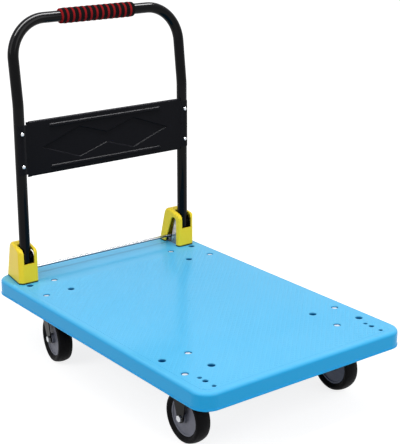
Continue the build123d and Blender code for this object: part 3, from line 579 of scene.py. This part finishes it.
def buildGrip():
    # radius along the bar: valley radius, plus the rise of the lands, drawn in at both ends on a quarter
    # round; the profile comes back along the bar's own surface, and the closed profile is carried round
    length = gripHigh.y - gripLow.y
    valley = (gripHigh.z - gripLow.z) / 2
    rise = (ringHigh.z - ringLow.z) / 2 - valley
    tubeRadius = (capHigh.x - capLow.x) / 2
    centreX = (gripLow.x + gripHigh.x) / 2
    centreZ = (gripLow.z + gripHigh.z) / 2
    s = np.linspace(-length / 2, length / 2, grip["along"])
    landNumber = np.floor(s / grip["pitch"]) + 0.5  # the bar's middle falls between two lands
    landPlace = s - landNumber * grip["pitch"]
    inField = np.abs(landNumber) <= (grip["lands"] - 1) / 2
    edge = (grip["landWidth"] / 2 - np.abs(landPlace)) / grip["edge"]
    land = np.clip(edge + 0.5, 0, 1) * inField
    land = np.maximum(land, np.clip((-length / 2 + grip["rim"] - s) / grip["edge"] + 0.5, 0, 1))
    lift = land * land * (3 - 2 * land)  # eased at top and bottom
    fromEnd = np.clip(length / 2 - np.abs(s), 0, grip["endRound"])
    drawIn = grip["endRound"] - np.sqrt(grip["endRound"] ** 2 - (grip["endRound"] - fromEnd) ** 2)
    outer = valley + rise * lift - drawIn
    bore = np.full_like(s, tubeRadius + grip["boreRoom"])
    alongBar = np.concatenate([s, s[::-1]])
    radius = np.concatenate([outer, bore])
    mask = np.concatenate([lift, lift[::-1]])
    angle = np.linspace(0, 2 * np.pi, grip["around"], endpoint=False)
    points = np.stack(np.broadcast_arrays(
        centreX + radius[:, None] * np.cos(angle),
        alongBar[:, None],
        centreZ + radius[:, None] * np.sin(angle)), -1)
    quads = gridQuads(*points.shape[:2], closed=True)
    piece = meshPiece("gripFoam", points.reshape(-1, 3), quads, looks["black_foam"], "handle")
    ringMask = piece.data.attributes.new("ringMask", "FLOAT", "POINT")
    ringMask.data.foreach_set("value", np.repeat(mask, grip["around"]).astype(np.float32))
    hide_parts("grip_sleeve", "grip_rings")
    return piece


gripFoam = buildGrip()
print("grip:", len(gripFoam.data.polygons), "faces")

# anti-slip field on the deck: low square studs in slanting rows, left out round the holes
tread = {
    "pitch": 0.0106,
    "foot": 0.0043,  # half the width of a stud at its foot
    "top": 0.0034,  # and at its top
    "height": 0.0004,
    "sunk": 0.0001,
    "margin": 0.026,
    "rearMargin": 0.136,
    "boltRoom": 0.015,
    "holeRoom": 0.013,
    "gateRoom": 0.011,
    "latticeReach": 90,  # rows each side of the deck's middle, more than the deck holds
}


def solidCentres(name):
    # middle in plan of each loose solid in a node, found by letting linked corners share their lowest number
    mesh = nodes[name].data
    points = np.empty(len(mesh.vertices) * 3, np.float32)
    mesh.vertices.foreach_get("co", points)
    points = points.reshape(-1, 3)
    rounded, same = np.unique(np.round(points, decimals=5), axis=0, return_inverse=True)
    edges = np.empty(len(mesh.edges) * 2, np.int32)
    mesh.edges.foreach_get("vertices", edges)
    edges = same.ravel()[edges].reshape(-1, 2)
    group = np.arange(len(rounded))
    while True:
        lowest = np.minimum(group[edges[:, 0]], group[edges[:, 1]])
        fresh = group.copy()
        np.minimum.at(fresh, edges[:, 0], lowest)
        np.minimum.at(fresh, edges[:, 1], lowest)
        if np.array_equal(fresh, group):
            break
        group = fresh
    solids = [rounded[group == number] for number in np.unique(group)]
    return np.array([(solid.min(0)[:2] + solid.max(0)[:2]) / 2 for solid in solids])


def buildTread():
    # centres on a square lattice turned by 45 degrees; each stud is a foot square, a smaller top square
    # and its sides
    span = tread["pitch"] / math.sqrt(2)
    steps = np.arange(-tread["latticeReach"], tread["latticeReach"] + 1)
    i, j = np.meshgrid(steps, steps)
    centres = np.stack([(i - j) * span, (i + j) * span], -1).reshape(-1, 2)
    keep = centres[:, 0] < deckHigh.x - tread["margin"]
    keep &= centres[:, 0] > deckLow.x + tread["rearMargin"]
    keep &= np.abs(centres[:, 1]) < deckHigh.y - tread["margin"]
    bolts = np.concatenate([solidCentres("caster_bolts_shallow"), solidCentres("caster_bolts_deep")])
    for place in bolts:
        keep &= np.hypot(*(centres - place).T) > tread["boltRoom"]
    for mount in frame["record"]["mounts"]:
        if mount["name"].startswith("front_"):
            reach = mount["dims"].get("spacing_x_mm", 0) / 2000  # half the spacing of a pair, in metres
            for side in (-1, 1):
                place = np.array(mount["pos_m"][:2]) + (side * reach, 0)
                keep &= np.hypot(*(centres - place).T) > tread["holeRoom"]
    keep &= np.hypot(*centres.T) > tread["gateRoom"]
    centres = centres[keep]
    turn = np.arange(4) * math.pi / 2
    ring = np.stack([np.cos(turn), np.sin(turn)], -1)
    foot = np.column_stack([ring * tread["foot"] * math.sqrt(2), np.full(4, deckTop - tread["sunk"])])
    top = np.column_stack([ring * tread["top"] * math.sqrt(2), np.full(4, deckTop + tread["height"])])
    stud = np.concatenate([foot, top])  # corners 0 to 3 are the foot's, 4 to 7 the top's
    points = stud[None] + np.pad(centres, ((0, 0), (0, 1)))[:, None]
    sides = [(k, (k + 1) % 4, 4 + (k + 1) % 4, 4 + k) for k in range(4)]
    faces = np.array([*sides, (4, 5, 6, 7), (3, 2, 1, 0)])
    quads = (faces[None] + len(stud) * np.arange(len(centres))[:, None, None]).reshape(-1, 4)
    return meshPiece("deckTread", points.reshape(-1, 3), quads,
                     looks["deck_plastic"], "chassis", smooth=False)


deckTread = buildTread()
print("tread:", len(deckTread.data.polygons), "faces")

# latch return springs, which wind up when the rod is pressed: the leg under the rod goes with it, the
# other leg stays in the bracket and the coil turns between them
spring = {
    "wire": 0.0012,
    "radius": 0.0043,  # of the coil, to the middle of the wire
    "turns": 3.25,
    "perTurn": 40,
    "around": 12,
}


def buildSpring(name, node):
    # ring of wire round a point that comes along the rod leg, goes round a helix about the latch pin from
    # the top over the front, and goes down the bracket leg; each ring lies in the plane of the pin's axis
    # and its point
    low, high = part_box(node)
    thick = spring["wire"] / 2
    pinX, pinZ = (edge - spring["radius"] - thick for edge in (high.x, high.z))
    fromY, toY = sorted((low.y, high.y), key=abs)
    inward = math.copysign(thick, fromY)
    fromY, toY = fromY + inward, toY - inward
    turn = np.linspace(0, 2 * np.pi * spring["turns"], round(spring["turns"] * spring["perTurn"]) + 1)
    around = np.linspace(0, 2 * np.pi, spring["around"], endpoint=False)
    reach = spring["radius"] + thick * np.cos(around)
    coil = np.stack(np.broadcast_arrays(
        pinX + reach * np.sin(turn)[:, None],
        np.linspace(fromY, toY, len(turn))[:, None] - thick * np.sin(around),
        pinZ + reach * np.cos(turn)[:, None]), -1)
    rodEnd, bracketEnd = coil[0].copy(), coil[-1].copy()
    rodEnd[:, 0], bracketEnd[:, 2] = low.x, low.z
    points = np.concatenate([rodEnd[None], coil, bracketEnd[None]])
    count = spring["around"]
    tube = gridQuads(len(points), count, closed=False)
    cap = np.array([(-k % count, k + 1, k + 2, -(k + 1) % count) for k in range(count // 2 - 1)])
    quads = np.concatenate([tube, cap[:, ::-1], cap + count * (len(points) - 1)])  # strips close both ends
    piece = meshPiece(name, points.reshape(-1, 3), quads, looks["steel"])
    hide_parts(node)
    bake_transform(piece)
    return piece


latchSprings = [buildSpring("latchSpringLeft", "latch_spring_left"),
                buildSpring("latchSpringRight", "latch_spring_right")]
print("springs:", sum(len(piece.data.polygons) for piece in latchSprings), "faces")

# studio: white floor and surroundings, a long narrow lamp overhead, wide soft ones in front and at the
# side, and a lamp for gloss that lights the black handle alone
studio = {
    "white": (1, 1, 1, 1),
    "floorSize": 60,
    "floorColour": (0.42, 0.42, 0.42, 1),  # as it throws light back
    "floorSeen": (0.4, 0.4, 0.4, 1),
    "floorRoughness": 0.9,
    "floorLift": (0.82, 0.95),  # own light of the seen floor, near the truck and far away
    "liftFrom": 0.5,
    "liftTo": 1.6,
    "fill": 0.42,
}
lamps = {
    "stripLamp": {"place": (0.7, -0.2, 3.4), "aim": (0.7, -0.2, 0), "size": (0.15, 5.0), "power": 48},
    "frontLamp": {"place": (3.2, 0.8, 2.4), "aim": (0, 0, 0.3), "size": (2.4, 2.4), "power": 52},
    "sideLamp": {"place": (-0.5, -3.2, 2.2), "aim": (0, 0, 0.3), "size": (2.0, 2.0), "power": 40},
    "glossLamp": {"place": (-0.2, -0.2, 3.4), "aim": (-0.2, -0.2, 0), "size": (0.8, 5.0), "power": 640,
                  "only": ("handle_tube", "back_plate", "plate_rivets")},
}


def turnTo(place, aim):
    # turn of a lamp or camera that stands at a place and looks at a point
    return (Vector(aim) - Vector(place)).to_track_quat("-Z", "Y")


def seenRays(tree):
    # 1 for what the camera sees, straight or in a mirror or glass, and 0 for light that falls on things
    path = addNode(tree, "ShaderNodeLightPath")
    seen = combine(tree, "MAXIMUM", path.outputs["Is Camera Ray"], path.outputs["Is Glossy Ray"])
    return combine(tree, "MAXIMUM", seen, path.outputs["Is Transmission Ray"])


def floorWhite():
    look, tree, shader = startLook("floorWhite", studio["floorColour"], studio["floorRoughness"],
                                   specular=0.0)
    shader.inputs["Emission Color"].default_value = studio["white"]
    seen = seenRays(tree)
    colour = blendColour(tree, seen, studio["floorColour"], studio["floorSeen"])
    tree.links.new(colour, shader.inputs["Base Color"])
    away = addNode(tree, "ShaderNodeVectorMath", operation="LENGTH")
    tree.links.new(objectPoint(tree), away.inputs[0])
    lift = spread(tree, away.outputs["Value"], studio["liftFrom"], studio["liftTo"], *studio["floorLift"])
    tree.links.new(combine(tree, "MULTIPLY", seen, lift), shader.inputs["Emission Strength"])
    return look


def buildFloor():
    half = studio["floorSize"] / 2
    corners = [(-half, -half, 0), (half, -half, 0), (half, half, 0), (-half, half, 0)]
    mesh = bpy.data.meshes.new("floor")
    mesh.from_pydata(corners, [], [(0, 1, 2, 3)])
    mesh.materials.append(floorWhite())
    floor = bpy.data.objects.new("floor", mesh)
    bpy.context.scene.collection.objects.link(floor)


def buildWorld():
    world = bpy.data.worlds.new("whiteRoom")
    bpy.context.scene.world = world
    world.use_nodes = True
    tree = world.node_tree
    background = tree.nodes["Background"]
    background.inputs["Color"].default_value = studio["white"]
    tree.links.new(spread(tree, seenRays(tree), 0, 1, studio["fill"], 1), background.inputs["Strength"])


def buildLamps():
    for name, setting in lamps.items():
        lamp = bpy.data.lights.new(name, "AREA")
        lamp.shape = "RECTANGLE"
        lamp.size, lamp.size_y = setting["size"]
        lamp.energy = setting["power"]
        lampObject = bpy.data.objects.new(name, lamp)
        lampObject.location = setting["place"]
        lampObject.rotation_euler = turnTo(setting["place"], setting["aim"]).to_euler()
        bpy.context.scene.collection.objects.link(lampObject)
        if "only" in setting:
            lit = bpy.data.collections.new(name + "Lit")
            for node in setting["only"]:
                lit.objects.link(nodes[node])
            lampObject.light_linking.receiver_collection = lit


buildFloor()
buildWorld()
buildLamps()

# camera where the photograph was taken from, worked out from the deck's corners, the wheels and the handle
view = {
    "place": (2.1987, -1.6377, 1.2689),
    "aim": (0.0001, 0.0355, 0.3878),
    "lens": 95.81,
    "film": 36.0,
    "far": 100,
}


def buildCamera():
    camera = bpy.data.cameras.new("photoView")
    camera.sensor_fit = "VERTICAL"
    camera.sensor_height = view["film"]
    camera.lens = view["lens"]
    camera.clip_end = view["far"]
    spot = bpy.data.objects.new("photoView", camera)
    turn = turnTo(view["place"], view["aim"]).to_matrix().to_4x4()
    spot.matrix_world = Matrix.Translation(view["place"]) @ turn
    bpy.context.scene.collection.objects.link(spot)
    bpy.context.scene.camera = spot


buildCamera()
bpy.context.scene.view_settings.view_transform = "Standard"
print("studio and camera set")
